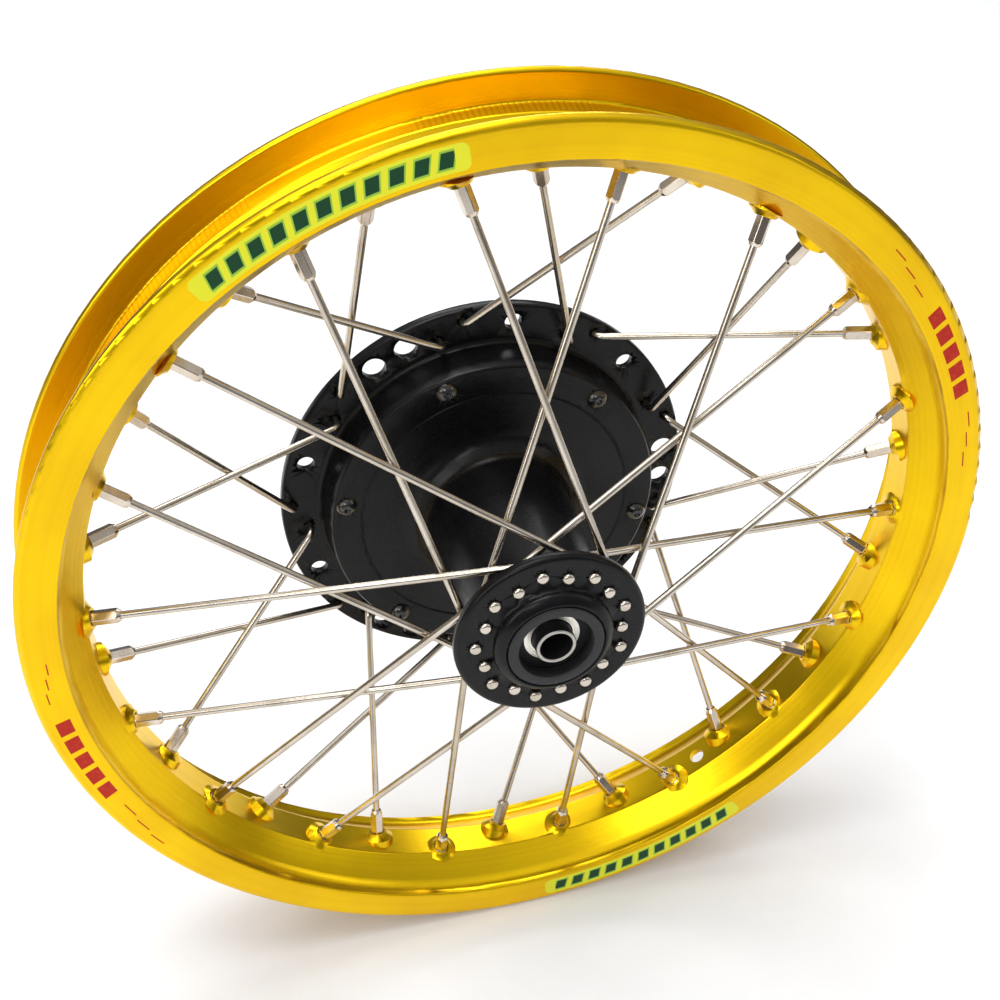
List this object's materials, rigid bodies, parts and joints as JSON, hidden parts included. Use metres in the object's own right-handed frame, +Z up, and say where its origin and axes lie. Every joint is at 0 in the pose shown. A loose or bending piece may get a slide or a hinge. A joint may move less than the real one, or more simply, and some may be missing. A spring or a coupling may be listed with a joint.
{
  "type": "spoked motorcycle wheel",
  "caption": "Laced alloy wheel with a drop-centre rim, a small spoke flange, a large drum hub and ball bearings on an axle sleeve.",
  "frame": {"origin": "the wheel's centre: on the axle line, in the middle plane of the rim", "axes": "+Y along the axle line from the small spoke flange to the drum, +Z up, so the wheel stands upright"},
  "size_m": [0.4646, 0.14, 0.4646],
  "materials": {
    "gold_anodised": "satin gold anodised",
    "black_anodised": "satin black anodised",
    "spoke_steel": "polished stainless",
    "nickel_plate": "bright nickel plate",
    "black_screw": "gloss black",
    "grey_ring": "matt grey",
    "black_sleeve": "satin black with a bright edge",
    "bearing_steel": "ground",
    "cage_steel": "pressed",
    "black_rubber": "matt"
  },
  "bodies": {
    "axle_parts": {"small_end_inner_race": "bearing_steel", "large_end_inner_race": "bearing_steel", "small_end_sleeve": "black_sleeve", "large_end_sleeve": "black_sleeve", "spacer_tube": "bearing_steel", "small_end_balls": "bearing_steel", "small_end_ball_cage": "cage_steel", "large_end_balls": "bearing_steel", "large_end_ball_cage": "cage_steel"},
    "wheel": {"rim": "gold_anodised", "hub_body": "black_anodised", "small_row_nipples": "nickel_plate", "large_row_nipples": "nickel_plate", "small_flange_spoke_01": "spoke_steel", "small_flange_spoke_02": "spoke_steel", "small_flange_spoke_03": "spoke_steel", "small_flange_spoke_04": "spoke_steel", "small_flange_spoke_05": "spoke_steel", "small_flange_spoke_06": "spoke_steel", "small_flange_spoke_07": "spoke_steel", "small_flange_spoke_08": "spoke_steel", "small_flange_spoke_09": "spoke_steel", "small_flange_spoke_10": "spoke_steel", "small_flange_spoke_11": "spoke_steel", "small_flange_spoke_12": "spoke_steel", "small_flange_spoke_13": "spoke_steel", "small_flange_spoke_14": "spoke_steel", "small_flange_spoke_15": "spoke_steel", "small_flange_spoke_16": "spoke_steel", "small_flange_spoke_17": "spoke_steel", "small_flange_spoke_18": "spoke_steel", "large_flange_spoke_01": "spoke_steel", "large_flange_spoke_02": "spoke_steel", "large_flange_spoke_03": "spoke_steel", "large_flange_spoke_04": "spoke_steel", "large_flange_spoke_05": "spoke_steel", "large_flange_spoke_06": "spoke_steel", "large_flange_spoke_07": "spoke_steel", "large_flange_spoke_08": "spoke_steel", "large_flange_spoke_09": "spoke_steel", "large_flange_spoke_10": "spoke_steel", "large_flange_spoke_11": "spoke_steel", "large_flange_spoke_12": "spoke_steel", "large_flange_spoke_13": "spoke_steel", "large_flange_spoke_14": "spoke_steel", "large_flange_spoke_15": "spoke_steel", "large_flange_spoke_16": "spoke_steel", "large_flange_spoke_17": "spoke_steel", "large_flange_spoke_18": "spoke_steel", "small_end_outer_race": "bearing_steel", "large_end_outer_race": "bearing_steel", "small_end_bearing_shield": "black_rubber", "large_end_bearing_shield": "black_rubber", "small_end_ring": "grey_ring", "large_end_ring": "grey_ring", "disc_carrier": "black_anodised", "button_head_screws": "black_screw"}
  },
  "joints": [
    {"name": "wheel_spin", "type": "hinge", "parent": "axle_parts", "child": "wheel", "pos_m": [0, 0, 0], "axis": [0, 1, 0], "continuous": true}
  ]
}
